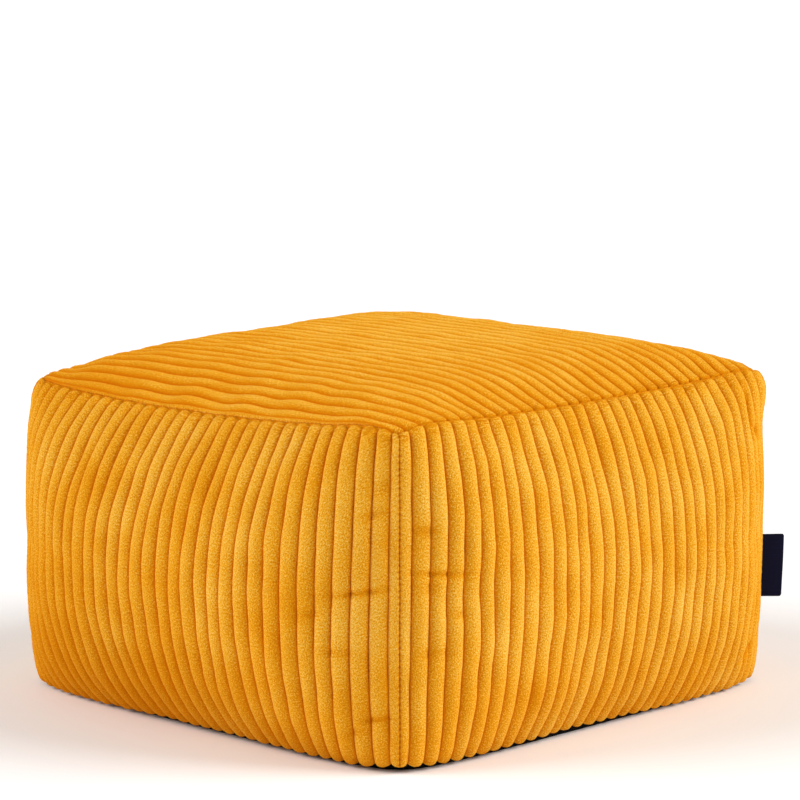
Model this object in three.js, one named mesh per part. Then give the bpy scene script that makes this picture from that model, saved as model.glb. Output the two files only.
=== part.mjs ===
// Bean bag footstool: a square pouf of ribbed cloth, filled until its sides and top swell.
//
// Millimetres, +Z up. The origin is on the floor, under the middle of the base. The front side
// faces -Y and the right side faces +X. The cloth surface stands at the tips of the ribs.

import * as THREE from "three";
import { mergeVertices } from "three/addons/utils/BufferGeometryUtils.js";

// Seams of the filled cover, measured at the tips of the ribs beside them.
const TOP_CORNER = 246; // centre to a top corner, along X and along Y
const TOP_MIDDLE = 256; // centre to the top seam at the middle of a side
const BASE_CORNER = 247; // centre to a corner of the base seam, which is rounder
const TOP_SEAM_HEIGHT = 306.5;
const TOP_TILT = 4; // how far the top seam stands above that on the right, and below it on the left
const CORNER_DROP = 1.5; // how far the top corners sink below the rest of the top seam
const CORNER_DROP_POWER = 8;

// For each side panel, the way it faces in degrees about +Z, the distance from the centre to the
// middle of its base seam, and its swell between the base and top seams.
const SIDES = [
  { faces: "front", turn: 0, baseMiddle: 262, bulge: 60 },
  { faces: "right", turn: 90, baseMiddle: 261, bulge: 40 },
  { faces: "back", turn: 180, baseMiddle: 265, bulge: 54 },
  { faces: "left", turn: 270, baseMiddle: 264, bulge: 44 },
];
const BULGE_POWER = 0.87;
const CORNER_SWELL = 4; // how far the upright seams swell outwards at mid height
const CORNER_SWELL_POWER = 0.85;

// Squareness of the level outline: 2 is an arc, and higher numbers turn sharper corners.
const BASE_SQUARENESS = 5.6;
const WAIST_SQUARENESS = 3.4;
const TOP_SQUARENESS = 6;
const SQUARENESS_EASE = 0.7;

// Crown of the top panel, a little fuller towards the back.
const CROWN = 29;
const CROWN_POWER_X = 4.5;
const CROWN_POWER_Y = 3.8;
const CROWN_LEAN = 0.25;

// Seams are drawn in: the cloth rounds over into them.
const SEAM_DRAW = 7;
const SEAM_ROUND = 14;

// Base panel: a thin cloth, flat on the floor, that curls up to its seam.
const BASE_THICKNESS = 2;
const BASE_CURL = 5;
const BASE_FLAT_SHARE = 0.955; // share of the way out from the centre that lies flat
const CLEARANCE = 0.3; // between neighbouring pieces

// Side tab: a ribbon folded in two, caught in the upright seam between the right and back sides.
const TAB_FOOT = 83.5; // height of its lower edge
const TAB_HEIGHT = 61;
const TAB_REACH = 22.8;
const TAB_THICKNESS = 2.4;
const TAB_TAPER = 0.8; // how much less its lower edge reaches out
const TAB_CORNER_RADIUS = 1.6;
const TAB_EDGE_STEPS = 6;

// Mesh density.
const CELLS_ACROSS = 20;
const CELLS_UP = 12;
const SEAM_LINES = [0, 0.25, 1]; // extra grid lines beside a seam, in shares of SEAM_ROUND
const FLAT_RINGS = [0, 0.5]; // rings of the base's flat middle, in shares of the way out
const CURL_RINGS = [0, 0.35, 0.7, 1]; // rings across its curled edge
const TAB_CURVE_SEGMENTS = 4;
const MERGE_TOLERANCE = 1e-3;

const UPWARDS = new THREE.Vector3(0, 0, 1);
const baseSeamHeight = BASE_CURL + BASE_THICKNESS + CLEARANCE;
const mix = (from, to, share) => from + (to - from) * share;
const swelling = (share, power) => (4 * share * (1 - share)) ** power;

/** Quarter-round fall at a distance from a seam: 1 on the seam, 0 from SEAM_ROUND on. */
function seamFall(distance) {
  const share = Math.min(distance / SEAM_ROUND, 1);
  return 1 - Math.sqrt(1 - (1 - share) ** 2);
}

/** Grid lines over a span: even in the middle, with two more where each end rounds over. */
function gridLines(low, high, cells) {
  const ends = SEAM_LINES.map((share) => share * SEAM_ROUND);
  const lines = ends.map((offset) => low + offset);
  for (let cell = 1; cell < cells; cell += 1) {
    lines.push(mix(low + SEAM_ROUND, high - SEAM_ROUND, cell / cells));
  }
  return lines.concat(ends.map((offset) => high - offset).reverse());
}

const acrossLines = gridLines(-TOP_CORNER, TOP_CORNER, CELLS_ACROSS).map((line) => line / TOP_CORNER);
const sideHeight = TOP_SEAM_HEIGHT - baseSeamHeight;
const upLines = gridLines(0, sideHeight, CELLS_UP).map((line) => line / sideHeight);

/** Squareness of the outline at a share of the side's height. */
function squareness(up) {
  if (up < 0.5) {
    return mix(BASE_SQUARENESS, WAIST_SQUARENESS, (2 * up) ** SQUARENESS_EASE);
  }
  return mix(WAIST_SQUARENESS, TOP_SQUARENESS, 2 * up - 1);
}

/** How far a side panel is drawn in by the nearer of its top and base seams. */
function sideDraw(up) {
  return SEAM_DRAW * seamFall(Math.min(up, 1 - up) * sideHeight);
}

/** Distance from the centre to an upright seam, along X and along Y. */
function cornerReach(up) {
  const swell = CORNER_SWELL * swelling(up, CORNER_SWELL_POWER);
  return mix(BASE_CORNER, TOP_CORNER, up) + swell - sideDraw(up);
}

/** Height of the drawn-in top seam at a place on it: x and y run from -1 to 1. */
function topSeamHeight(x, y) {
  const corner = CORNER_DROP * Math.abs(x * y) ** CORNER_DROP_POWER;
  return TOP_SEAM_HEIGHT + TOP_TILT * x - corner - SEAM_DRAW;
}

/** Point of a side panel: across runs from -1 to 1, and up from 0 at the base seam to 1. */
function sidePoint(side, across, up) {
  const angle = THREE.MathUtils.degToRad(side.turn);
  const seam = new THREE.Vector3(across, -1, 0).applyAxisAngle(UPWARDS, angle);
  const corner = cornerReach(up);
  const swell = side.bulge * swelling(up, BULGE_POWER);
  const middle = mix(side.baseMiddle, TOP_MIDDLE, up) + swell - sideDraw(up);
  const reach = mix(corner, middle, 1 - Math.abs(across) ** squareness(up));
  const height = mix(baseSeamHeight, topSeamHeight(seam.x, seam.y), up);
  return new THREE.Vector3(across * corner, -reach, height).applyAxisAngle(UPWARDS, angle);
}

/** Point of the top panel: x and y run from -1 to 1 between its seams. */
function topPoint(x, y) {
  const bow = TOP_MIDDLE - TOP_CORNER;
  const edge = TOP_CORNER - SEAM_DRAW;
  const reachX = edge + bow * (1 - Math.abs(y) ** TOP_SQUARENESS);
  const reachY = edge + bow * (1 - Math.abs(x) ** TOP_SQUARENESS);
  const crown = CROWN * (1 - Math.abs(x) ** CROWN_POWER_X) * (1 - Math.abs(y) ** CROWN_POWER_Y);
  const nearestSeam = (1 - Math.max(Math.abs(x), Math.abs(y))) * TOP_CORNER;
  const rise = SEAM_DRAW * (1 - seamFall(nearestSeam)) + crown * (1 + CROWN_LEAN * y);
  return new THREE.Vector3(x * reachX, y * reachY, topSeamHeight(x, y) + rise);
}

/** The base seam seen from above, anticlockwise, as points at height 0. */
function baseOutline() {
  const points = [];
  for (const side of SIDES) {
    for (const across of acrossLines.slice(0, -1)) {
      points.push(sidePoint(side, across, 0).setZ(0));
    }
  }
  return points;
}

/** Height of the base panel's underside at a share of the way from the centre to its edge. */
function baseCurl(share) {
  const rise = Math.max(share - BASE_FLAT_SHARE, 0) / (1 - BASE_FLAT_SHARE);
  return BASE_CURL * rise ** 2;
}

/** Rings of points from the centre of the base to its edge, at a height above its underside. */
function baseRings(outline, above) {
  const curlShares = CURL_RINGS.map((step) => mix(BASE_FLAT_SHARE, 1, step));
  return [...FLAT_RINGS, ...curlShares].map((share) => outline.map((point) => (
    point.clone().multiplyScalar(share).setZ(baseCurl(share) + above)
  )));
}

/** Triangles between neighbouring rows of points. A closed row joins its end to its start. */
function stitchRows(rows, { closed = false, flip = false } = {}) {
  const triangles = [];
  const addTriangle = (a, b, c) => {
    const isFlat = a.distanceTo(b) < MERGE_TOLERANCE
      || b.distanceTo(c) < MERGE_TOLERANCE
      || c.distanceTo(a) < MERGE_TOLERANCE;
    if (!isFlat) {
      triangles.push(flip ? [a, c, b] : [a, b, c]);
    }
  };
  for (let row = 0; row + 1 < rows.length; row += 1) {
    const count = rows[row].length;
    for (let column = 0; column < (closed ? count : count - 1); column += 1) {
      const next = (column + 1) % count;
      addTriangle(rows[row][column], rows[row][next], rows[row + 1][next]);
      addTriangle(rows[row][column], rows[row + 1][next], rows[row + 1][column]);
    }
  }
  return triangles;
}

/** One closed mesh from triangles whose corners meet. */
function closedMesh(name, triangles, material) {
  const soup = new THREE.BufferGeometry().setFromPoints(triangles.flat());
  const geometry = mergeVertices(soup, MERGE_TOLERANCE);
  geometry.computeVertexNormals();
  const mesh = new THREE.Mesh(geometry, material);
  mesh.name = name;
  return mesh;
}

/** Top and side panels with their filling, closed below by the cloth that lies on the base. */
function makeFilledCover() {
  const material = new THREE.MeshStandardMaterial({ color: 0xefa424, roughness: 0.95, metalness: 0 });
  const sides = SIDES.flatMap((side) => (
    stitchRows(upLines.map((up) => acrossLines.map((across) => sidePoint(side, across, up))))
  ));
  const top = stitchRows(acrossLines.map((y) => acrossLines.map((x) => topPoint(x, y))));
  const underside = stitchRows(baseRings(baseOutline(), BASE_THICKNESS + CLEARANCE), { closed: true });
  return closedMesh("filled_cover", [...sides, ...top, ...underside], material);
}

/** Base panel: a thin sheet on the floor whose edge curls up to the base seam. */
function makeBasePanel() {
  const material = new THREE.MeshStandardMaterial({ color: 0x0d0d10, roughness: 0.9, metalness: 0 });
  const outline = baseOutline();
  const lower = baseRings(outline, 0);
  const upper = baseRings(outline, BASE_THICKNESS);
  const triangles = [
    ...stitchRows(lower, { closed: true }),
    ...stitchRows(upper, { closed: true, flip: true }),
    ...stitchRows([lower.at(-1), upper.at(-1)], { closed: true }),
  ];
  return closedMesh("base_panel", triangles, material);
}

/** Side tab, drawn with its root along the upright seam and pushed out to its thickness. */
function makeSideTab() {
  const material = new THREE.MeshStandardMaterial({ color: 0x0b1033, roughness: 0.6, metalness: 0 });
  const heightShare = (z) => (z - baseSeamHeight) / (topSeamHeight(1, 1) - baseSeamHeight);
  const rootReach = (z) => cornerReach(heightShare(z)) * Math.SQRT2 + CLEARANCE;
  const head = TAB_FOOT + TAB_HEIGHT;
  const footReach = rootReach(TAB_FOOT) + TAB_REACH - TAB_TAPER;
  const headReach = rootReach(head) + TAB_REACH;
  const shape = new THREE.Shape();
  shape.moveTo(rootReach(TAB_FOOT), TAB_FOOT);
  shape.lineTo(footReach - TAB_CORNER_RADIUS, TAB_FOOT);
  shape.quadraticCurveTo(footReach, TAB_FOOT, footReach, TAB_FOOT + TAB_CORNER_RADIUS);
  shape.lineTo(headReach, head - TAB_CORNER_RADIUS);
  shape.quadraticCurveTo(headReach, head, headReach - TAB_CORNER_RADIUS, head);
  for (let step = TAB_EDGE_STEPS; step > 0; step -= 1) {
    const z = mix(TAB_FOOT, head, step / TAB_EDGE_STEPS);
    shape.lineTo(rootReach(z), z);
  }
  shape.closePath();
  const geometry = new THREE.ExtrudeGeometry(shape, {
    depth: TAB_THICKNESS,
    bevelEnabled: false,
    curveSegments: TAB_CURVE_SEGMENTS,
  });
  geometry.translate(0, 0, -TAB_THICKNESS / 2);
  const mesh = new THREE.Mesh(geometry, material);
  mesh.name = "side_tab";
  // Stood upright, then turned to the diagonal between +X and +Y.
  mesh.rotation.set(Math.PI / 2, 0, Math.PI / 4, "ZYX");
  return mesh;
}

const footstool = new THREE.Group();
footstool.add(makeFilledCover());
footstool.add(makeBasePanel());
footstool.add(makeSideTab());

export default footstool;
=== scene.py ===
"""Bean bag footstool: five panels of wide-ribbed plush cord, a black base cloth and a side tab.

Metres, +Z up, in the frame of the CAD model. The front side faces -Y and the right side +X. The
smooth bag follows the CAD model's surface. A cloth simulation draws its seams together, and then
each panel gets its ribs, its rounded rib ends and its dents as geometry.
"""

import math

import bpy
import numpy as np
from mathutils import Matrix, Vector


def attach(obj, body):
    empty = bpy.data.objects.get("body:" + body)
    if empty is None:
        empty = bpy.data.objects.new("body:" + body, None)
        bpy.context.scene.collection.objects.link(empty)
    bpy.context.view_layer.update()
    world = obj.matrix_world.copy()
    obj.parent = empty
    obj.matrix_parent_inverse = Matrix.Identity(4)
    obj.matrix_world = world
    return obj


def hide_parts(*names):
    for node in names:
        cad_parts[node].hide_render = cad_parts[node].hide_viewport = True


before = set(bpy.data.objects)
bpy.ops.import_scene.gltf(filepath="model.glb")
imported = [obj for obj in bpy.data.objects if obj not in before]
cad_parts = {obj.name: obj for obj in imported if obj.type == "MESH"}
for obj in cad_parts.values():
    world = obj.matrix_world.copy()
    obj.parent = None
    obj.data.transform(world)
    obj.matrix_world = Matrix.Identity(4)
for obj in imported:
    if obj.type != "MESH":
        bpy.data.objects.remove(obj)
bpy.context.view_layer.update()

# ---- sizes of the smooth bag

TOP_CORNER = 0.246  # centre to a top corner, along X and along Y
TOP_MIDDLE = 0.256  # centre to the top seam at the middle of a side
BASE_CORNER = 0.247
TOP_SEAM_HEIGHT = 0.3045
# How far the top seam sags at the middle of the left and right sides, and of the front and back.
TOP_SAG_X = (0.005, 0.0068)
TOP_SAG_Y = (0.0108, 0.005)
SAG_POWER = 4
RIB_FOOT = -0.002  # where the sides would end if the base seam did not lift them
BULGE_POWER = 0.87  # the lower, the more steeply the sides swell out from their seams
CORNER_SWELL_POWER = 0.85
# How square the bag is, seen from above: the power of its outline at the base, waist and top.
BASE_SQUARENESS = 5.6
WAIST_SQUARENESS = 3.4
TOP_SQUARENESS = 6
SQUARENESS_EASE = 0.7
CROWN = 0.0268
CROWN_POWER_X = 4.5
CROWN_POWER_Y = 3.8
CROWN_LEAN_X = -0.2  # how much higher it is towards the right, as a share
CROWN_LEAN_Y = 0.2  # and towards the back
CORNER_POWER = 16  # how closely the tucks of the top corners keep to them
CORNER_REACH = 0.028  # how far down the sides they reach
SHOULDER_POWER = 9
SHOULDER_DEPTH = 0.026  # below the seam, where the shoulders swell most
SHOULDER_REACH = 0.026
FOOT_POWER = 9
FOOT_REACH = 0.045
FOOT_CURL = 0.0045  # how far the sides curl in under themselves at the base
FOOT_CURL_REACH = 0.055
FOOT_CURL_POWER = 8

# The upright seams: their signs, and how far they swell out at mid height. At the top, how far the
# bag is lifted around them, drops at its very corner and is tucked in, and how far the shoulder
# below swells out. At the foot, how far they are tucked in and lifted.
CORNER_COLUMNS = "x y swell lift drop tuck_x tuck_y shoulder foot foot_lift".split()
CORNER_ROWS = [
    (-1, -1, 0.004, -0.001, 0.0055, 0.01, 0.01, 0, 0.006, 0.005),
    (1, -1, 0.004, 0.009, 0.0145, 0.006, 0.003, 0, 0.005, 0.005),
    (1, 1, 0.006, 0.0095, 0.011, 0.003, 0.003, 0.0045, 0.003, 0.003),
    (-1, 1, 0.004, -0.001, 0.0055, 0.005, 0.007, 0, 0.01, 0.005),
]
CORNERS = [dict(zip(CORNER_COLUMNS, row)) for row in CORNER_ROWS]

# Seams: how far they draw the cloth in and over what distance it rounds in, and, where the ribs
# end in one, how deep the ends sink and over what length they round over.
UPRIGHT_SEAM = {"draw": 0.0027, "round": 0.0036}
# The front and back seams of the top: its own edge, and the rib ends of the side below.
PIPED_SEAM = {"draw": 0.0035, "round": 0.0045}
DOMED_SEAM = {"draw": 0.0012, "round": 0.0055, "depth": 0.0023, "end": 0.0078}
# Its left and right seams, where ribs end on both sides.
CROSSED_SEAM = {"draw": 0.0009, "round": 0.004, "depth": 0.0023, "end": 0.0046}
BASE_SEAM = {"draw": 0.006, "round": 0.011, "depth": 0.0028, "end": 0.006}
BASE_LIFT = 0.003  # how far the base seam lifts the cloth beside it
BASE_LIFT_REACH = 0.004
GROOVE_LIFT = 0.7  # the share of this by which it lifts the grooves further up
GROOVE_LIFT_REACH = 0.018
SHARED_REACH = 0.01  # how far from a seam its two panels face the same way
SEWING_REACH = 0.006  # how far from a seam the cloth gives, so that the edges meet
STITCH_PITCH = 0.0056  # of the pits in the upright seams

# ---- sizes of the cord

SIDE_RIBS = 31.75  # ribs across a side panel
TOP_RIBS = 31.7
SIDE_LENGTH = 0.33  # length of its ribs
RIB_PITCH = 0.0165
FULL_WIDTH = 0.7 * RIB_PITCH  # a rib narrower than this is less deep
LEAST_FULLNESS = 0.05
GROOVE_DEPTH = 0.0052
LEAST_RIB = 0.15  # a narrower last rib is part of the one before it
# Random spread of the grooves' places, in ribs, and of the heights of the ribs and of the pile.
GROOVE_SPREAD = 0.035
CREST_SPREAD = 0.0003
TUFT_SPREAD = 0.0001
# Over how much cloth these ease in from a seam. The first is in ribs.
WAVER_EASE = 0.8
END_EASE = 0.003  # the grooves' own depth, from where the ribs end
SIDE_EASE = 0.0028  # and from a seam that runs along them
TUFT_EASE = 0.002
DENT_EASE = 0.012
BACKING = 0.0015  # thickness of the cloth under the pile
COLUMNS_PER_RIB = 12
ROW_STEP = 0.0023
# Rows by the rib ends, where they round over.
END_ROWS = np.array((0, 0.0006, 0.0013, 0.0021, 0.003, 0.0041, 0.0054, 0.007, 0.009))
BACKING_STEP = 10  # rows of the outer face to one of the backing
PILE_SHARE = 1.5  # how quickly the pile fills out as a rib gets full
CURVE_POINTS = 401  # points on a line along which the ribs are spaced

WAVES = 7  # in each field of unevenness
# Unevenness: its size, its wavelength, and what its seed is above the panel's.
UNEVEN = {
    "waver": (0.03, 0.13, 40),  # of the grooves, in ribs
    "depth": (0.12, 0.05, 60),  # of the grooves, as a share
    "swell": (0.0004, 0.07, 70),  # of the panel
    "brushing": (0.35, 0.11, 30),  # of its pile
    "rib_brushing": (0.3, 0.045, 20),  # of the pile of each rib
}
RIB_STRIDE = 7.3  # how far apart two ribs lie in the field of their brushing

# The sides, in order round the bag. bulge: how far it swells out. base_middle: centre to the base
# seam at its middle. first_groove: ribs before the first groove. drift_left, drift_right: by how
# many ribs the grooves move away from that seam, at the base and at the top. foot: heights of the
# rib ends above the lowest ones, evenly spaced.
SIDES = [
    {
        "name": "front_panel", "bulge": 0.06, "base_middle": 0.262, "first_groove": 0.25,
        "drift_left": (0.1, 0), "drift_right": (0.22, 0),
        "foot": (0, 0.0005, 0.0014, 0.003, 0.0028, 0.0018, 0.001, 0.001),
    },
    {
        "name": "right_panel", "bulge": 0.04, "base_middle": 0.261, "first_groove": 0.75,
        "drift_left": (-0.22, 0), "drift_right": (0, 0),
        "foot": (0.001, 0.0018, 0.003, 0.0042, 0.003, 0.001, 0, 0.0002),
    },
    {
        "name": "back_panel", "bulge": 0.054, "base_middle": 0.265, "first_groove": 0.6,
        "drift_left": (0, -0.1), "drift_right": (0.15, 0),
        "foot": (0.002, 0.0025, 0.001, 0.0018, 0.0035, 0.003, 0.0015, 0.002),
    },
    {
        "name": "left_panel", "bulge": 0.044, "base_middle": 0.264, "first_groove": 1,
        "drift_left": (0.1, 0), "drift_right": (-0.1, 0),
        "foot": (0.002, 0.0012, 0.003, 0.0038, 0.002, 0.001, 0.0022, 0.0025),
    },
]
# Painted light on the two flanks of each rib: how much lighter each is painted, and how closely
# that keeps to the grooves. unevenness: the share of a side's.
TOP = {
    "name": "top_panel", "first_groove": 0.35, "seed": 10,
    "painted_flank_light": (-2.5, -5), "painted_flank_light_power": 2.6, "unevenness": 0.6,
}
for number, side in enumerate(SIDES):
    side["turn"] = 90 * number  # degrees about +Z
    side["seed"] = TOP["seed"] + 1 + number
    side["top_seam"] = (DOMED_SEAM, CROSSED_SEAM)[number % 2]
    # Painted sheen on the side ribs: one flank of each rib is painted lighter, the other darker.
    side["painted_flank_light"] = ((1, -1), (-1, 1))[number % 2]
# Ribs by which the grooves of the top run forwards at its ends, to meet those of the sides.
TOP_DRIFT = 0.6
TOP_DRIFT_POWER = 2.5
SEAM_EASE = 0.46  # ribs from a seam within which a drift of the grooves eases in
DRIFT_REACH = 12  # ribs over which a side's drift fades again

# Puckers of the top beside its front seam: height, wavelength, the length that they fill and that
# of its ends, the shift from rib to rib in radians, and the ribs over which they rise and fade.
PUCKER = {
    "height": 0.0014, "length": 0.069, "span": 0.49, "end": 0.03, "shift": 0.55, "rise": 0.5, "fade": 4,
}

# ---- sizes of the base, tab and seams

BASE_CLOTH = 0.0008  # thickness
BASE_SET_IN = 0.25  # the share of it by which its upper face is set in on the floor
BASE_SMOOTHING = 9  # points each way that set which way is out
BASE_ROUNDING = 13  # points each way over which its corners are rounded on the floor
# Its edge, from the seam down: how far out it stands, and its share of the seam's height.
BASE_EDGE = [(-0.0003, 1), (0.001, 0.8), (0.0018, 0.5), (0.0018, 0.22), (0.001, 0.05), (0, 0)]
BASE_RINGS = [1, 0.93, 0.8, 0.6, 0.35, 0.15]
BASE_INSET = 0.004  # how far inside the seam the outermost of these rings lies
BASE_RIPPLE = 0.25  # unevenness of how far its edge stands out, as a share
BASE_RIPPLE_LENGTH = 0.028
BASE_RIPPLE_SEED = 81
BASE_CLIMB = 0.7  # how far its weave moves along X and Y for each metre of height

TAB_FOOT = 0.0835  # height of its lower edge
TAB_HEIGHT = 0.061
TAB_REACH = 0.0228
TAB_TAPER = 0.0008  # how much less its lower edge reaches out
TAB_ROOT = 0.003  # how far it reaches into the seam
TAB_CORNER = 0.0013
TAB_FOLD = 0.0011  # radius of the fold
TAB_PINCH = 0.0006  # half the thickness where the seam holds it
TAB_PINCH_POWER = 1.5
TAB_PUFF = 0.0003  # how far each half stands out at its middle
TAB_SWAY = 0.0012  # how far its end bends aside
TAB_SWAY_TURNS = (0.4, 1.8)  # the sines of these spread that over its height
TAB_ROWS = 41
TAB_STEPS = 13
RIBBON = 0.00045  # thickness

# ---- sizes of the simulated bag

SIM_ACROSS = 57  # points across a panel
SIM_UP = 37
SIM_FRAMES = 20
SIM_CAP = 0.007  # furthest that a point may move
SIM_HOLD = 0.1  # how strongly a point is held to where it was
SIM_CLOTH = {
    "quality": 5, "mass": 0.1, "bending_stiffness": 0.3, "vertex_group_mass": "held",
    "use_pressure": True, "uniform_pressure_force": 4, "vertex_group_shrink": "drawn",
    "shrink_max": 0.025,
}
SIM_UNEVEN = 0.0005
SIM_UNEVEN_LENGTH = 0.06
SIM_UNEVEN_SEEDS = (5, 6, 7)
SIM_SLOW_SHARE = 0.9
SIM_SLIDE_SHARE = 0.25
SLOW_EASINGS = 60  # rounds of averaging that find the slow part of the shifts
QUICK_EASINGS = 5  # rounds that take out kinks
SIM_SHARE = 0.75

# Dents and folds: how far from the panel's first upright seam (for the top, from the back one)
# and from its foot (for the top, from its left end), half length, half width, turn in degrees from
# across the ribs, and depth.
DENTS = {
    "front_panel": [
        (0.5, 0.168, 0.024, 0.0032, -2, 0.003),
        (0.504, 0.235, 0.012, 0.005, 0, 0.0018),
        (0.506, 0.258, 0.01, 0.008, 0, 0.0013),
        (0.455, 0.154, 0.012, 0.006, 5, 0.0016),
        (0.497, 0.052, 0.016, 0.003, 0, 0.0024),
        (0.512, 0.027, 0.009, 0.004, -15, 0.002),
        (0.474, 0.042, 0.012, 0.004, 10, 0.0018),
        (0.478, 0.118, 0.014, 0.004, -10, 0.0014),
    ],
    "right_panel": [
        (0.022, 0.218, 0.01, 0.005, 4, 0.0021),
        (0.036, 0.181, 0.024, 0.003, 2, 0.0028),
        (0.026, 0.169, 0.01, 0.0065, 0, 0.0015),
        (0.054, 0.146, 0.01, 0.005, -5, 0.0016),
        (0.03, 0.11, 0.015, 0.0045, 10, 0.0015),
        (0.479, 0.254, 0.014, 0.004, -40, 0.0035),
        (0.46, 0.28, 0.0034, 0.019, 3, 0.0045),
        (0.467, 0.045, 0.014, 0.006, 20, 0.003),
    ],
}

# Broad places that look lighter or darker: on the top where the pile lies differently, on the sides
# painted shade towards the foot and painted light on the right side. How far from the first seam
# and from the foot, half width, half length, and how much lighter it looks.
NAP_AND_PAINTED_LIGHT = {
    "top_panel": [
        (0.26, 0.27, 0.17, 0.17, 1.4), (0.52, 0.05, 0.18, 0.2, -1.8), (0.56, 0.35, 0.09, 0.15, -0.3),
        (0.1, 0.5, 0.2, 0.08, -0.6),
    ],
    "front_panel": [(0.1, 0, 0.2, 0.14, -2.8), (0.38, 0, 0.22, 0.1, -1.6)],
    "right_panel": [
        (0.05, 0, 0.12, 0.09, -1), (0.33, 0.18, 0.22, 0.14, 0.5), (0.35, 0, 0.15, 0.06, -0.6),
    ],
    "back_panel": [(0.15, 0.05, 0.2, 0.1, -0.8)],
    "left_panel": [(0.35, 0, 0.2, 0.1, -0.8)],
}


# ---- the smooth bag


def mix(start, end, share):
    return start + (end - start) * share


def smooth_step(share):
    share = np.clip(share, 0, 1)
    return share * share * (3 - 2 * share)


def swelling(share, power):
    return np.clip(4 * share * (1 - share), 0, 1) ** power


def risen(distance, ease):
    """From 0 at a seam to 1 far from it."""
    return 1 - np.exp(-distance / ease)


def quarter_round(distance, radius):
    """Fall of a rounded edge: 1 at distance 0, and 0 from the radius on."""
    share = np.clip(distance / radius, 0, 1)
    return 1 - np.sqrt(1 - (1 - share) ** 2)


def turned(x, y, z, degrees):
    """Points turned about +Z, as an array whose last axis is x, y, z."""
    cosine = round(math.cos(math.radians(degrees)))
    sine = round(math.sin(math.radians(degrees)))
    x, y, z = np.broadcast_arrays(x, y, z)
    return np.stack([x * cosine - y * sine, x * sine + y * cosine, z], axis=-1)


def squareness(up):
    lower = mix(BASE_SQUARENESS, WAIST_SQUARENESS, np.clip(2 * up, 0, 1) ** SQUARENESS_EASE)
    upper = mix(WAIST_SQUARENESS, TOP_SQUARENESS, 2 * up - 1)
    return np.where(up < 0.5, lower, upper)


def by_corner(x, y, column):
    """A column of CORNERS, spread evenly over the square between the corners."""
    return sum(c[column] * (1 + c["x"] * x) * (1 + c["y"] * y) / 4 for c in CORNERS)


def top_lift(x, y):
    """How far a place on the top seam stands above TOP_SEAM_HEIGHT. x and y run from -1 to 1."""

    def sag(place, low, high):
        return low * np.clip(-place, 0, 1) ** SAG_POWER + high * np.clip(place, 0, 1) ** SAG_POWER

    sags = (1 - x * x) * sag(y, *TOP_SAG_Y) + (1 - y * y) * sag(x, *TOP_SAG_X)
    return by_corner(x, y, "lift") - sags


def side_point(side, across, up):
    """Point of a side panel: across runs from -1 to 1, and up from 0 at the base seam to 1."""
    # The same place on the edge of the top, turned as the side is.
    seam = turned(across, -1.0, 0.0, side["turn"])
    x, y = seam[..., 0], seam[..., 1]
    corner = mix(BASE_CORNER, TOP_CORNER, up) + by_corner(x, y, "swell") * swelling(up, CORNER_SWELL_POWER)
    middle = mix(side["base_middle"], TOP_MIDDLE, up) + side["bulge"] * swelling(up, BULGE_POWER)
    reach = mix(corner, middle, 1 - np.abs(across) ** squareness(up))
    curl = quarter_round(up * TOP_SEAM_HEIGHT, FOOT_CURL_REACH) * (1 - np.abs(across) ** FOOT_CURL_POWER)
    reach = reach - FOOT_CURL * curl
    at_top = np.abs(across) ** CORNER_POWER * quarter_round((1 - up) * TOP_SEAM_HEIGHT, CORNER_REACH)
    at_foot = np.abs(across) ** FOOT_POWER * quarter_round(up * TOP_SEAM_HEIGHT, FOOT_REACH)
    foot = RIB_FOOT + np.interp(across, np.linspace(-1, 1, len(side["foot"])), side["foot"]) + 0 * up
    height = mix(foot, TOP_SEAM_HEIGHT + top_lift(x, y), up)
    point = turned(across * corner, -reach, height, side["turn"])
    tuck = at_foot * by_corner(x, y, "foot")
    point[..., 0] -= x * (at_top * by_corner(x, y, "tuck_x") + tuck)
    point[..., 1] -= y * (at_top * by_corner(x, y, "tuck_y") + tuck)
    point[..., 2] += at_foot * by_corner(x, y, "foot_lift") - at_top * by_corner(x, y, "drop")
    below = ((1 - up) * TOP_SEAM_HEIGHT - SHOULDER_DEPTH) / SHOULDER_REACH
    shoulder = np.abs(across) ** SHOULDER_POWER * np.exp(-(below ** 2)) * by_corner(x, y, "shoulder")
    point[..., :2] += seam[..., :2] * shoulder[..., None]
    return point


def top_point(x, y):
    """Point of the top panel: x and y run from -1 to 1 between its seams."""
    bow = TOP_MIDDLE - TOP_CORNER
    reach_x = TOP_CORNER + bow * (1 - np.abs(y) ** TOP_SQUARENESS)
    reach_y = TOP_CORNER + bow * (1 - np.abs(x) ** TOP_SQUARENESS)
    crown = CROWN * (1 - np.abs(x) ** CROWN_POWER_X) * (1 - np.abs(y) ** CROWN_POWER_Y)
    height = TOP_SEAM_HEIGHT + top_lift(x, y) + crown * (1 + CROWN_LEAN_X * x + CROWN_LEAN_Y * y)
    at_corner = np.abs(x * y) ** CORNER_POWER
    return turned(
        x * (reach_x - at_corner * by_corner(x, y, "tuck_x")),
        y * (reach_y - at_corner * by_corner(x, y, "tuck_y")),
        height - at_corner * by_corner(x, y, "drop"),
        0,
    )


# ---- helpers


def wobble(u, v, wavelength, seed):
    """Smooth random field of about unit size: plane waves in random directions."""
    random = np.random.default_rng(seed)
    field = 0
    for _ in range(WAVES):
        angle = random.uniform(0, 2 * math.pi)
        length = wavelength * random.uniform(0.7, 1.4)
        phase = random.uniform(0, 2 * math.pi)
        field = field + np.sin(2 * math.pi * (u * math.cos(angle) + v * math.sin(angle)) / length + phase)
    return field / math.sqrt(WAVES / 2)


def unit(vectors):
    return vectors / np.maximum(np.linalg.norm(vectors, axis=-1, keepdims=True), 1e-12)


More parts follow.
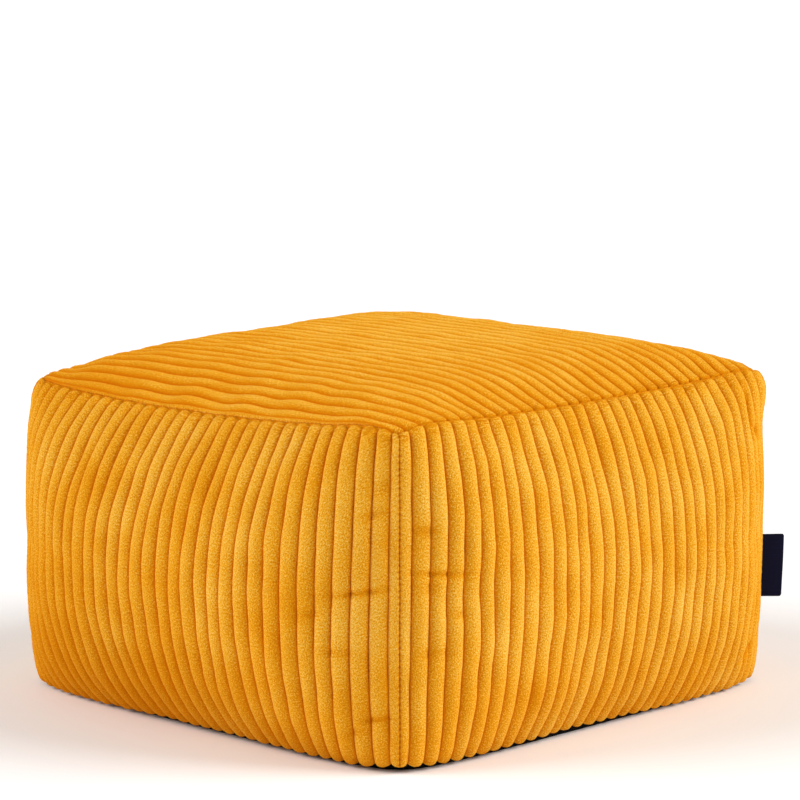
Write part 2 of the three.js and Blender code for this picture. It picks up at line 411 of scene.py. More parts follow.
def along(points, axis):
    """Distance along the grid from its first row or column."""
    steps = np.linalg.norm(np.diff(points, axis=axis), axis=-1)
    return np.insert(np.cumsum(steps, axis=axis), 0, 0, axis=axis)


def both(outer, inner):
    """The points of two grids, one after the other."""
    return np.concatenate([outer.reshape(-1, 3), inner.reshape(-1, 3)])


def grid_faces(rows, columns):
    corner = np.arange(rows - 1)[:, None] * columns + np.arange(columns - 1)
    quads = np.stack([corner, corner + 1, corner + columns + 1, corner + columns], axis=-1)
    return quads.reshape(-1, 4)


def sampled(grid, row, column):
    """Values of a grid at places between its points, by cubic interpolation."""
    rows, columns = grid.shape[:2]
    row_0 = np.clip(np.floor(row).astype(int), 0, rows - 2)
    column_0 = np.clip(np.floor(column).astype(int), 0, columns - 2)
    total = 0
    for i, row_share in enumerate(cubic_shares(row - row_0)):
        for j, column_share in enumerate(cubic_shares(column - column_0)):
            near_row = np.clip(row_0 + i - 1, 0, rows - 1)
            near_column = np.clip(column_0 + j - 1, 0, columns - 1)
            total = total + (row_share * column_share)[..., None] * grid[near_row, near_column]
    return total


def cubic_shares(t):
    return (
        ((2 - t) * t - 1) * t / 2,
        ((3 * t - 5) * t * t + 2) / 2,
        ((4 - 3 * t) * t + 1) * t / 2,
        (t - 1) * t * t / 2,
    )


def new_mesh(name, points, faces, smooth=True):
    mesh = bpy.data.meshes.new(name)
    mesh.from_pydata(points, [], faces)
    mesh.polygons.foreach_set("use_smooth", np.broadcast_to(smooth, len(faces)).tolist())
    return mesh


def new_object(name, data):
    made = bpy.data.objects.new(name, data)
    bpy.context.scene.collection.objects.link(made)
    return made


def covered(mesh, material):
    mesh.materials.append(material)
    return new_object(mesh.name, mesh)


def store(mesh, name, values, rest=0.0):
    """An attribute on the points: values on the first ones, and rest on the others."""
    is_vector = values.ndim > 1 and values.shape[-1] == 3
    made = mesh.attributes.new(name, "FLOAT_VECTOR" if is_vector else "FLOAT", "POINT")
    flat = values.reshape(-1, 3) if is_vector else values.reshape(-1, 1)
    full = np.full((len(mesh.vertices), flat.shape[1]), float(rest), np.float32)
    full[:len(flat)] = flat
    made.data.foreach_set("vector" if is_vector else "value", full.ravel())


# ---- the simulated bag


def bag_grids():
    """For each panel, its points, and their three whole-numbered places on the bag's box."""
    nodes = np.linspace(-1, 1, SIM_ACROSS)
    up = np.linspace(0, 1, SIM_UP)
    last = SIM_ACROSS - 1
    i, j = np.meshgrid(range(SIM_ACROSS), range(SIM_ACROSS))
    grids = {"top_panel": (top_point(nodes[i], nodes[j]), (i, j, 0 * i + SIM_UP - 1))}
    i, k = np.meshgrid(range(SIM_ACROSS), range(SIM_UP))
    spots = {0: (i, 0 * i), 90: (0 * i + last, i), 180: (last - i, 0 * i + last), 270: (0 * i, last - i)}
    for side in SIDES:
        grids[side["name"]] = (side_point(side, nodes[i], up[k]), (*spots[side["turn"]], k))
    return grids


def joined(grids):
    """The grids as one mesh: its points, their places on the bag's box, its faces, and for each
    grid the points of the mesh that it has become."""
    places = np.concatenate([np.stack(spots, -1).reshape(-1, 3) for _, spots in grids.values()])
    points = np.concatenate([grid.reshape(-1, 3) for grid, _ in grids.values()])
    _, first, merged = np.unique(places, axis=0, return_index=True, return_inverse=True)
    ends = np.cumsum([grid[..., 0].size for grid, _ in grids.values()])
    parts = np.split(merged.ravel(), ends[:-1])
    shapes = [grid.shape[:2] for grid, _ in grids.values()]
    faces = np.concatenate([part[grid_faces(*shape)] for part, shape in zip(parts, shapes)])
    parts = {name: part.reshape(shape) for name, part, shape in zip(grids, parts, shapes)}
    return points[first], places[first], faces, parts


def read_vectors(collection, name):
    values = np.empty(3 * len(collection), np.float32)
    collection.foreach_get(name, values)
    return values.reshape(-1, 3).astype(float)


def simulated(mesh, places):
    """Where a cloth simulation takes the points of the bag, and the ways that they face."""
    bag = new_object("bag", mesh)
    # A seam is where two faces of the bag's box meet.
    faces_at = np.isin(places[:, :2], (0, SIM_ACROSS - 1)).sum(axis=1) + (places[:, 2] == SIM_UP - 1)
    held = bag.vertex_groups.new(name="held")
    held.add(np.flatnonzero(places[:, 2] == 0).tolist(), 1.0, "REPLACE")
    held.add(np.flatnonzero(places[:, 2] > 0).tolist(), SIM_HOLD, "REPLACE")
    drawn = bag.vertex_groups.new(name="drawn")
    drawn.add(np.flatnonzero(faces_at > 1).tolist(), 1.0, "REPLACE")
    settings = bag.modifiers.new("cloth", "CLOTH").settings
    settings.effector_weights.gravity = 0
    for key, value in SIM_CLOTH.items():
        setattr(settings, key, value)
    scene = bpy.context.scene
    for step in range(1, SIM_FRAMES + 1):
        scene.frame_set(step)
    settled = bag.evaluated_get(bpy.context.evaluated_depsgraph_get()).to_mesh()
    moved = read_vectors(settled.vertices, "co")
    outward = read_vectors(mesh.vertex_normals, "vector")
    scene.frame_set(1)
    bpy.data.objects.remove(bag)
    bpy.data.meshes.remove(mesh)
    return moved, outward


def simulated_shifts():
    """For each panel, a grid of how far the simulation moves its points."""
    rest, places, faces, parts = joined(bag_grids())
    above_base = places[:, 2:] > 0
    u, v = rest[:, 0] + rest[:, 2], rest[:, 1] - rest[:, 2]
    waves = np.stack([wobble(u, v, SIM_UNEVEN_LENGTH, seed) for seed in SIM_UNEVEN_SEEDS], axis=-1)
    mesh = new_mesh("bag", rest + SIM_UNEVEN * waves * above_base, faces.tolist())
    moved, outward = simulated(mesh, places)
    shifts = moved - rest
    # Along the cloth the bag slides only a little, so that the ribs stay fairly straight.
    straight_out = np.sum(shifts * outward, axis=1, keepdims=True) * outward
    shifts = mix(straight_out, shifts, SIM_SLIDE_SHARE)
    size = np.linalg.norm(shifts, axis=1, keepdims=True)
    shifts *= np.minimum(1, SIM_CAP / np.maximum(size, 1e-9))
    # The smooth bag has its swell already, so the slow part of the shifts is taken off again.
    slow = eased(shifts, faces, SLOW_EASINGS)
    shifts = eased(shifts, faces, QUICK_EASINGS) - SIM_SLOW_SHARE * slow
    shifts *= SIM_SHARE * above_base
    return {name: shifts[part] for name, part in parts.items()}


def eased(values, faces, rounds):
    """Values on the points of a mesh, averaged many times over their neighbours."""
    pairs = np.concatenate([faces[:, [k, (k + 1) % 4]] for k in range(4)])
    pairs = np.concatenate([pairs, pairs[:, ::-1]])
    count = np.bincount(pairs[:, 0], minlength=len(values))[:, None]
    for _ in range(rounds):
        total = np.stack([
            np.bincount(pairs[:, 0], values[pairs[:, 1], axis], len(values)) for axis in range(3)
        ], axis=-1)
        values = (values + total / count) / 2
    return values


# ---- cord panels


def groove_places(ribs, first_groove, seed):
    """Where the seams and grooves cross a panel, in ribs from its first seam."""
    random = np.random.default_rng(seed)
    grooves = np.arange(first_groove, ribs - LEAST_RIB, 1.0)
    grooves = grooves + random.normal(0, GROOVE_SPREAD, len(grooves))
    return np.concatenate([[0], grooves, [ribs]])


def rib_columns(places):
    """Columns across the panel, closer by each groove, as ribs from the first seam, with each
    one's place in its rib and the number of that rib. A seam cuts off the outer ribs."""
    turn = np.arange(COLUMNS_PER_RIB) / COLUMNS_PER_RIB * math.pi
    inside = (1 - np.cos(turn)) / 2
    widths = np.diff(places)
    columns = (places[:-1, None] + widths[:, None] * inside).ravel()
    in_rib = np.tile(inside, (len(widths), 1))
    cut = np.minimum(widths, 1)
    in_rib[0] = 1 - cut[0] * (1 - inside)
    in_rib[-1] = cut[-1] * inside
    rib = np.repeat(np.arange(len(widths)), COLUMNS_PER_RIB)
    return np.append(columns, places[-1]), np.append(in_rib.ravel(), cut[-1]), np.append(rib, rib[-1])


def row_places(length):
    """Rows along the ribs, closer where the rib ends round over."""
    count = round((length - 2 * END_ROWS[-1]) / ROW_STEP)
    middle = np.linspace(END_ROWS[-1], length - END_ROWS[-1], count + 1)[1:-1]
    return np.concatenate([END_ROWS, middle, (length - END_ROWS)[::-1]]) / length


def even_spacing(curve, dense, wanted):
    """Values of dense at the wanted shares of each curve's length. curve is lines x points x 3."""
    length = along(curve, 1)
    return np.stack([np.interp(w, one / one[-1], dense) for w, one in zip(wanted, length)])


def near_seam(ribs_away):
    """How much of a drift of the grooves shows, this many ribs from a seam."""
    return risen(ribs_away, SEAM_EASE) * np.exp(-((ribs_away / DRIFT_REACH) ** 2))


def dented(panel, u, v):
    """Depth of the dents and folds pressed into a panel."""
    depth = 0
    for dent_u, dent_v, long, wide, turn, deep in DENTS.get(panel["name"], ()):
        cosine, sine = math.cos(math.radians(turn)), math.sin(math.radians(turn))
        lengthwise = ((u - dent_u) * cosine + (v - dent_v) * sine) / long
        crosswise = ((v - dent_v) * cosine - (u - dent_u) * sine) / wide
        depth = depth + deep * np.exp(-(lengthwise ** 2) - crosswise ** 2)
    return depth


def nap_and_painted_light(panel, u, v):
    """How much lighter a panel looks in broad places: where the pile lies differently, and painted light
    and shade.
    """
    return sum(
        tone * np.exp(-(((u - at_u) / wide) ** 2) - ((v - at_v) / long) ** 2)
        for at_u, at_v, wide, long, tone in NAP_AND_PAINTED_LIGHT[panel["name"]]
    )


def nearest_on(line, points):
    """The nearest place on a line of points to each of some other points."""
    start, step = line[:-1], np.diff(line, axis=0)
    share = np.sum((points[:, None] - start) * step, axis=-1) / np.sum(step * step, axis=-1)
    spots = start + np.clip(share, 0, 1)[..., None] * step
    nearest = np.linalg.norm(points[:, None] - spots, axis=-1).argmin(axis=1)
    return spots[np.arange(len(points)), nearest]


def sewn(grid, lines, to_seams):
    """A panel with its edges pulled onto those beside it. No line means no pull."""
    edges = (grid[:, 0], grid[:, -1], grid[0], grid[-1])
    pulls = []
    for edge, line, across in zip(edges, lines, (True, True, False, False)):
        pull = 0 * edge if line is None else nearest_on(line, edge) - edge
        pulls.append(pull[:, None] if across else pull[None, :])
    shares = [1 - smooth_step(distance / SEWING_REACH)[..., None] for distance in to_seams]
    total = sum(share * pull for share, pull in zip(shares, pulls))
    return grid + total / np.maximum(sum(shares), 1)


def shared_ways(tips, to_seams, ways):
    """The way that each point faces. Near a seam, both of its panels face the same way."""
    normal = unit(np.cross(np.gradient(tips, axis=1), np.gradient(tips, axis=0)))
    pulls = [1 - smooth_step(distance / SHARED_REACH) for distance in to_seams]
    facing, *neighbours = np.array(ways, float)
    shared = unit(facing + sum(pull[..., None] * way for pull, way in zip(pulls, neighbours)))
    return unit(mix(normal, shared, np.maximum.reduce(pulls)[..., None]))


def uneven(kind, panel, u, v):
    size, wavelength, seed = UNEVEN[kind]
    return size * wobble(u, v, wavelength, panel["seed"] + seed)


def groove_depths(fullness, rib):
    """How deep the groove by each column is: as the less full of its two ribs has it."""
    in_rib = np.arange(len(rib) - 1) % COLUMNS_PER_RIB
    beside = np.append(np.where(in_rib < COLUMNS_PER_RIB / 2, rib[:-1] - 1, rib[:-1] + 1), rib[-1])
    beside = np.clip(beside, 0, fullness.shape[1] - 1)
    return GROOVE_DEPTH * np.minimum(fullness[:, rib], fullness[:, beside])


def panel_object(panel, smooth, ways, ribs, length, drift, seams, sewn_to, material, relief=None):
    """One panel as an object, and the grid of its outer points.

    smooth(s, t) gives the rib-tip surface, s across the ribs and t along them, from 0 to 1. ways
    holds the ways that the panel and those beyond its seams face. seams and sewn_to are in the
    same order: at s=0, s=1, t=0 and t=1. drift(ribs_in, t) moves the grooves, and
    relief(ribs_in, v) raises the surface.
    """
    random = np.random.default_rng(panel["seed"])
    places = groove_places(ribs, panel["first_groove"], panel["seed"])
    columns, in_rib, rib = rib_columns(places)
    ribs_in, t = np.meshgrid(columns, row_places(length))
    inward = np.minimum(ribs_in, ribs - ribs_in)
    waver = uneven("waver", panel, ribs_in * RIB_PITCH, t * length) * risen(inward, WAVER_EASE)
    ribs_in = ribs_in + drift(ribs_in, t) + waver
    tips = smooth(ribs_in / ribs, t)
    from_left, from_end = along(tips, 1), along(tips, 0)
    to_seams = [from_left, from_left[:, -1:] - from_left, from_end, from_end[-1:] - from_end]
    normal = shared_ways(tips, to_seams, ways)
    to_side = np.minimum(to_seams[0], to_seams[1])
    to_end = np.minimum(to_seams[2], to_seams[3])
    to_edge = np.minimum(to_side, to_end)

    # Pile: 0 in a groove, 1 on the crest of a rib.
    side_off = np.abs(2 * in_rib - 1)[None, :]
    pile = np.sqrt(1 - side_off ** 2) + 0 * to_end
    at_first = to_seams[2] < to_seams[3]
    end, end_depth = (np.where(at_first, seams[2][key], seams[3][key]) for key in ("end", "depth"))
    end_off = 1 - np.clip(to_end / end, 0, 1)
    rounded = np.sqrt(np.clip(1 - side_off ** 2 - end_off ** 2, 0, 1))
    grooves = np.r_[0:len(columns):COLUMNS_PER_RIB]
    fullness = np.clip(np.diff(from_left[:, grooves], axis=1) / FULL_WIDTH, LEAST_FULLNESS, 1)
    depth = groove_depths(fullness, rib) * (1 + uneven("depth", panel, from_left, from_end))
    depth = mix(end_depth, depth, smooth_step(to_end / END_EASE)) * smooth_step(to_side / SIDE_EASE)
    crest = random.normal(0, CREST_SPREAD, len(places))[rib] * pile * smooth_step(to_side / RIB_PITCH)
    height = crest - depth * (1 - rounded)
    if relief:
        height = height + relief(ribs_in, from_end)
    inside = smooth_step(to_edge / DENT_EASE)
    dents = dented(panel, from_left, from_end) * inside
    height = height - dents + uneven("swell", panel, from_left, from_end) * inside
    tuft = TUFT_SPREAD * random.standard_normal(height.shape) * smooth_step(to_edge / TUFT_EASE)
    drawn = np.maximum.reduce([
        seam["draw"] * quarter_round(distance, seam["round"]) for seam, distance in zip(seams, to_seams)
    ])
    outer = tips + normal * (height + tuft - drawn)[..., None]
    if seams[2] is BASE_SEAM:
        up_grooves = GROOVE_LIFT * (1 - pile) * (1 - smooth_step(to_seams[2] / GROOVE_LIFT_REACH))
        lift = quarter_round(to_seams[2], BASE_LIFT_REACH) + up_grooves
        outer[..., 2] += BASE_LIFT * lift.clip(0, 1)
    outer = sewn(outer, sewn_to, to_seams)

    points, faces, outside = with_backing(outer, normal, grooves)
    mesh = new_mesh(panel["name"], points, faces, np.arange(len(faces)) < outside)
    store(mesh, "pile", pile * np.minimum(1, fullness[:, rib] * PILE_SHARE))
    store(mesh, "cloth", np.stack([from_left, from_end, 0 * pile + panel["seed"]], axis=-1))
    store(mesh, "to_end", to_end, 1)
    # Only the upright seams have painted shade pits.
    store(mesh, "to_side", to_side if seams[0] is UPRIGHT_SEAM else 1 + 0 * to_side, 1)
    brushed_and_painted_light = uneven("brushing", panel, from_left, from_end)
    brushed_and_painted_light = brushed_and_painted_light + uneven("rib_brushing", panel, rib[None, :] * RIB_STRIDE, from_end)
    brushed_and_painted_light = brushed_and_painted_light * panel.get("unevenness", 1)
    # Brushing of the pile, with painted shade towards the feet and painted light on the right side.
    store(mesh, "brushed_and_painted_light", brushed_and_painted_light + nap_and_painted_light(panel, from_left, from_end))
    # Painted light and shade on the rib flanks, strongest by the grooves.
    flank = np.where(in_rib < 0.5, *panel["painted_flank_light"]) * side_off ** panel.get("painted_flank_light_power", 1)
    store(mesh, "painted_flank_light", flank + 0 * pile)
    store(mesh, "dent", dents * 1000)
    return covered(mesh, material), outer


def with_backing(outer, normal, grooves):
    """Points and faces of a panel and its backing, the outer faces first, and how many those are."""
    # The backing has one column to a rib, and few rows.
    rows, ends = len(outer), len(END_ROWS)
    some_rows = np.unique(np.r_[0, np.arange(ends, rows - ends, BACKING_STEP), rows - 1])
    picked = np.ix_(some_rows, grooves)
    inner = outer[picked] - normal[picked] * BACKING
    fine = np.arange(outer[..., 0].size).reshape(outer.shape[:2])
    coarse = fine.size + np.arange(inner[..., 0].size).reshape(inner.shape[:2])
    front = grid_faces(*fine.shape).tolist()
    back = grid_faces(*coarse.shape)[:, ::-1] + fine.size
    faces = [*front, *back.tolist()]
    for fine_line, coarse_line, keys, flip in (
        (fine[0], coarse[0], grooves, True),
        (fine[-1], coarse[-1], grooves, False),
        (fine[:, 0], coarse[:, 0], some_rows, False),
        (fine[:, -1], coarse[:, -1], some_rows, True),
    ):
        faces += zipped(fine_line, coarse_line, keys, flip)
    return both(outer, inner), faces, len(front)


def zipped(fine_line, coarse_line, keys, flip):
    """Triangles between an edge of the outer face and the coarser one of the backing."""
    triangles = []
    for step in range(len(keys) - 1):
        low, high = keys[step], keys[step + 1]
        middle = (low + high) // 2
        for place in range(low, high):
            near = coarse_line[step] if place < middle else coarse_line[step + 1]
            triangles.append((fine_line[place], fine_line[place + 1], near))
        triangles.append((fine_line[middle], coarse_line[step + 1], coarse_line[step]))
    return [t[::-1] if flip else t for t in triangles]


def side_panel(side, shift, material, sewn_to):
    dense = np.linspace(-1, 1, CURVE_POINTS)

    def smooth(s, t):
        across = even_spacing(side_point(side, dense[None, :], t[:, :1]), dense, s)
        point = side_point(side, across, t)
        return point + sampled(shift, t * (SIM_UP - 1), (across + 1) / 2 * (SIM_ACROSS - 1))

    def drift(ribs_in, t):
        left = mix(*side["drift_left"], t) * near_seam(ribs_in)
        return left - mix(*side["drift_right"], t) * near_seam(SIDE_RIBS - ribs_in)

    def way(x, y):
        return turned(x, y, 0, side["turn"]).tolist()

    ways = way(0, -1), way(-1, 0), way(1, 0), (0, 0, -1), (0, 0, 1)
    seams = UPRIGHT_SEAM, UPRIGHT_SEAM, BASE_SEAM, side["top_seam"]
    return panel_object(side, smooth, ways, SIDE_RIBS, SIDE_LENGTH, drift, seams, sewn_to, material)


def top_panel(shift, material, heads):
    """The top panel: its s runs from the back seam to the front one, and its t along +X.

    heads gives the upper edge of each side panel, in the order of SIDES.
    """
    dense = np.linspace(1, -1, CURVE_POINTS)

    def smooth(s, t):
        x = 2 * t - 1
        y = even_spacing(top_point(x[:, :1], dense[None, :]), dense, s)
        return top_point(x, y) + sampled(shift, (y + 1) / 2 * (SIM_ACROSS - 1), t * (SIM_ACROSS - 1))

    def drift(ribs_in, t):
        cut = np.abs(2 * t - 1) ** TOP_DRIFT_POWER
        return TOP_DRIFT * cut * risen(np.minimum(ribs_in, TOP_RIBS - ribs_in), SEAM_EASE)

    def puckers(ribs_in, v):
        from_front = TOP_RIBS - ribs_in
        wave = np.sin(2 * math.pi * v / PUCKER["length"] + PUCKER["shift"] * from_front)
        fade = np.exp(-from_front / PUCKER["fade"]) * risen(from_front, PUCKER["rise"])
        ends = smooth_step(np.minimum(v, PUCKER["span"] - v) / PUCKER["end"])
        return PUCKER["height"] * wave * fade * ends

    ways = (0, 0, 1), (0, 1, 0), (0, -1, 0), (-1, 0, 0), (1, 0, 0)
    seams = PIPED_SEAM, PIPED_SEAM, CROSSED_SEAM, CROSSED_SEAM
    front, right, back, left = heads
    sewn_to = back, front, left, right
    length = 2 * TOP_CORNER
    return panel_object(TOP, smooth, ways, TOP_RIBS, length, drift, seams, sewn_to, material, puckers)


# ---- base cloth and tab


def loop_faces(rings, around):
    """Faces of rings of points, each ring closed, going up ring by ring."""
    ring, place = np.divmod(grid_faces(rings, around + 1), around + 1)
    return ring * around + place % around


def base_cloth(seam_loop, material):
    """The base: it bulges out a little under the base seam, then lies flat on the floor."""
    around = len(seam_loop)
    ways = np.roll(seam_loop, -BASE_SMOOTHING, axis=0) - np.roll(seam_loop, BASE_SMOOTHING, axis=0)
    ways = unit(np.stack([ways[:, 1], -ways[:, 0], 0 * ways[:, 0]], axis=-1))
    walk = np.cumsum(np.linalg.norm(seam_loop - np.roll(seam_loop, 1, axis=0), axis=1))
    ripple = 1 + BASE_RIPPLE * wobble(walk, 0 * walk, BASE_RIPPLE_LENGTH, BASE_RIPPLE_SEED)[:, None]
    flat, rise = seam_loop * (1, 1, 0), seam_loop * (0, 0, 1)
    steps = range(-BASE_ROUNDING, BASE_ROUNDING + 1)
    rounded = sum(np.roll(flat, step, axis=0) for step in steps) / len(steps)
    under = np.array([
        *(mix(rounded, flat, height) + ways * out * ripple + rise * height for out, height in BASE_EDGE),
        *((rounded - ways * BASE_INSET) * share for share in BASE_RINGS),
    ])
    over = under.copy()
    edge = len(BASE_EDGE)
    over[:edge] -= ways * BASE_CLOTH * np.linspace(1, BASE_SET_IN, edge)[:, None, None]
    over[1:, :, 2] += BASE_CLOTH
    points = np.concatenate([both(over, under), [[0, 0, BASE_CLOTH], [0, 0, 0]]])
    count = len(under) * around
    up_faces = loop_faces(len(under), around)
    down_faces = up_faces[:, ::-1] + count
    here, after = up_faces[:around, :2].T
    rim = np.stack([after, here, here + count, after + count], axis=-1)
    # The last rings are closed with a point in the middle.
    last, last_under = count - around, 2 * count - around
    caps = [(last + a, last + b, 2 * count) for a, b in zip(here, after)]
    caps += [(last_under + b, last_under + a, 2 * count + 1) for a, b in zip(here, after)]
    faces = [*up_faces.tolist(), *down_faces.tolist(), *rim.tolist(), *caps]
    mesh = new_mesh("base_cloth", points, faces)
    store(mesh, "cloth", points * (1, 1, 0) + points[:, 2:] * (BASE_CLIMB, BASE_CLIMB, 0))
    return covered(mesh, material)


def side_tab(root, material):
    """A ribbon folded in two, with its open ends in the upright seam. root is that seam's line."""
    heights = np.linspace(TAB_FOOT, TAB_FOOT + TAB_HEIGHT, TAB_ROWS)
    share = np.linspace(0, 1, TAB_ROWS)
    base = np.stack([np.interp(heights, root[:, 2], root[:, axis]) for axis in (0, 1)], axis=-1)
    out = np.array((1, 1)) / math.sqrt(2)
    across = np.array((-1, 1)) / math.sqrt(2)
    from_edge = np.clip(np.minimum(heights - heights[0], heights[-1] - heights) / TAB_CORNER, 0, 1)
    reach = TAB_REACH - TAB_TAPER * (1 - share) - TAB_CORNER * (1 - np.sqrt(1 - (1 - from_edge) ** 2))
    straight = np.linspace(0, 1, TAB_STEPS)
    bend = np.linspace(0, math.pi, TAB_STEPS)[1:-1]
    end = (reach - TAB_FOLD)[:, None]
    run = mix(-TAB_ROOT, end, straight)
    puff = TAB_PUFF * np.sin(math.pi * share)[:, None] * np.sin(math.pi * straight)
    sway = TAB_SWAY * np.sin(mix(*TAB_SWAY_TURNS, share))[:, None]
    layers = []
    for radius in (TAB_FOLD, TAB_FOLD - RIBBON):
        # Outwards on one side, round the fold, and back on the other.
        gap = radius - (TAB_FOLD - TAB_PINCH) * (1 - straight) ** TAB_PINCH_POWER + puff
        lengthwise = np.concatenate([run, end + radius * np.sin(bend), run[:, ::-1]], axis=1)
        sideways = np.concatenate([-gap, 0 * end - radius * np.cos(bend), gap[:, ::-1]], axis=1)
        sideways = sideways + sway * (np.clip(lengthwise, 0, 1) / TAB_REACH) ** 2
        flat = base[:, None] + lengthwise[..., None] * out + sideways[..., None] * across
        level = np.broadcast_to(heights[:, None, None], (*lengthwise.shape, 1))
        layers.append(np.concatenate([flat, level], axis=-1))
    outer, inner = layers
    index = np.arange(outer[..., 0].size).reshape(outer.shape[:2])
    count = index.size
    front = grid_faces(*index.shape)
    faces = [*front.tolist(), *(front[:, ::-1] + count).tolist()]
    for line, flip in ((index[0], True), (index[-1], False), (index[:, 0], False), (index[:, -1], True)):
        for a, b in zip(line[:-1], line[1:]):
            quad = (a, b, b + count, a + count)
            faces.append(quad if flip else quad[::-1])
    mesh = new_mesh("folded_tab", both(outer, inner), faces)
    walk = along(outer, 1)
    cloth = np.stack([walk, heights[:, None] + 0 * walk, 0 * walk], axis=-1)
    store(mesh, "cloth", both(cloth, cloth))
    return covered(mesh, material)


# ---- materials

# Linear colours. Those of threads are between and on them.
PILE_DARK = (0.71, 0.215, 0.0004)
PILE_MIDDLE = (0.865, 0.388, 0.009)
PILE_LIGHT = (0.94, 0.62, 0.14)
# Painted shade in the grooves.
GROOVE_SHADE_COLOUR = (0.77, 0.215, 0.0003)
# Painted shade in the pits between stitches.
PIT_SHADE_COLOUR = (0.6, 0.13, 0.0001)
BASE_THREADS = ((0.001, 0.001, 0.0012), (0.0045, 0.0045, 0.005))
BASE_THREAD_PITCH = 0.0009
LINT_COLOUR = (0.05, 0.045, 0.04)
RIBBON_THREADS = ((0.001, 0.0014, 0.011), (0.0022, 0.003, 0.024))
RIBBON_THREAD_PITCH = 0.00055
RIBBON_WORN = (0.0035, 0.0045, 0.034)
FLOOR_COLOURS = ((0.93, 0.93, 0.93), (0.95, 0.95, 0.95))


class Look:
    """One material and its nodes. Inputs are numbers, colours or the outputs of other nodes."""

    def __init__(self, name, finish):
        self.material = bpy.data.materials.new(name)
        self.material.use_nodes = True
        self.tree = self.material.node_tree
        self.shader = self.tree.nodes["Principled BSDF"]
        self.give(self.shader, finish)

    def give(self, node, inputs):
        for key, value in inputs.items():
            socket = node.inputs[key]
            if isinstance(value, bpy.types.NodeSocket):
                self.tree.links.new(value, socket)
            elif socket.type == "RGBA" and len(value) == 3:
                socket.default_value = (*value, 1)
            else:
                socket.default_value = value

    def add(self, kind, inputs, output=0, **settings):
        node = self.tree.nodes.new(kind)
        for key, value in settings.items():
            setattr(node, key, value)
        self.give(node, inputs)
        return node.outputs[output]

    def attribute(self, name, output="Fac"):
        return self.add("ShaderNodeAttribute", {}, output, attribute_name=name)

    def math(self, operation, *values):
        return self.add("ShaderNodeMath", dict(enumerate(values)), operation=operation)

    def spread(self, value, low, high, to_low=0, to_high=1):
        """value from low..high mapped to to_low..to_high, and held there beyond."""
        return self.add("ShaderNodeMapRange", {0: value, 1: low, 2: high, 3: to_low, 4: to_high})

    def stretch(self, place, scale):
        return self.add("ShaderNodeVectorMath", {0: place, 1: scale}, operation="MULTIPLY")

    def noise(self, place, scale, detail=2, roughness=0.5):
        """Noise with features of about 1 / scale metres along each axis."""
        place = self.stretch(place, scale)
        inputs = {"Vector": place, "Scale": 1, "Detail": detail, "Roughness": roughness}
        return self.add("ShaderNodeTexNoise", inputs)

    def split(self, vector):
        return self.add("ShaderNodeSeparateXYZ", {0: vector}).node.outputs

    def weave(self, place, pitch):
        """Plain weave of this pitch, from 0 between the threads to 1 on them."""
        turns = self.stretch(place, (math.pi / pitch,) * 3)
        parts = self.add("ShaderNodeVectorMath", {0: turns}, operation="SINE")
        x, y, _ = self.split(parts)
        return self.spread(self.math("MULTIPLY", x, y), -1, 1)

    def blend(self, share, start, end):
        return self.add("ShaderNodeMix", {0: share, 6: start, 7: end}, 2, data_type="RGBA")

    def bump(self, height, distance, strength):
        normal = self.add("ShaderNodeBump", {"Height": height, "Distance": distance, "Strength": strength})
        self.give(self.shader, {"Normal": normal})

    def coloured(self, colour):
        self.give(self.shader, {"Base Color": colour})
        return self.material


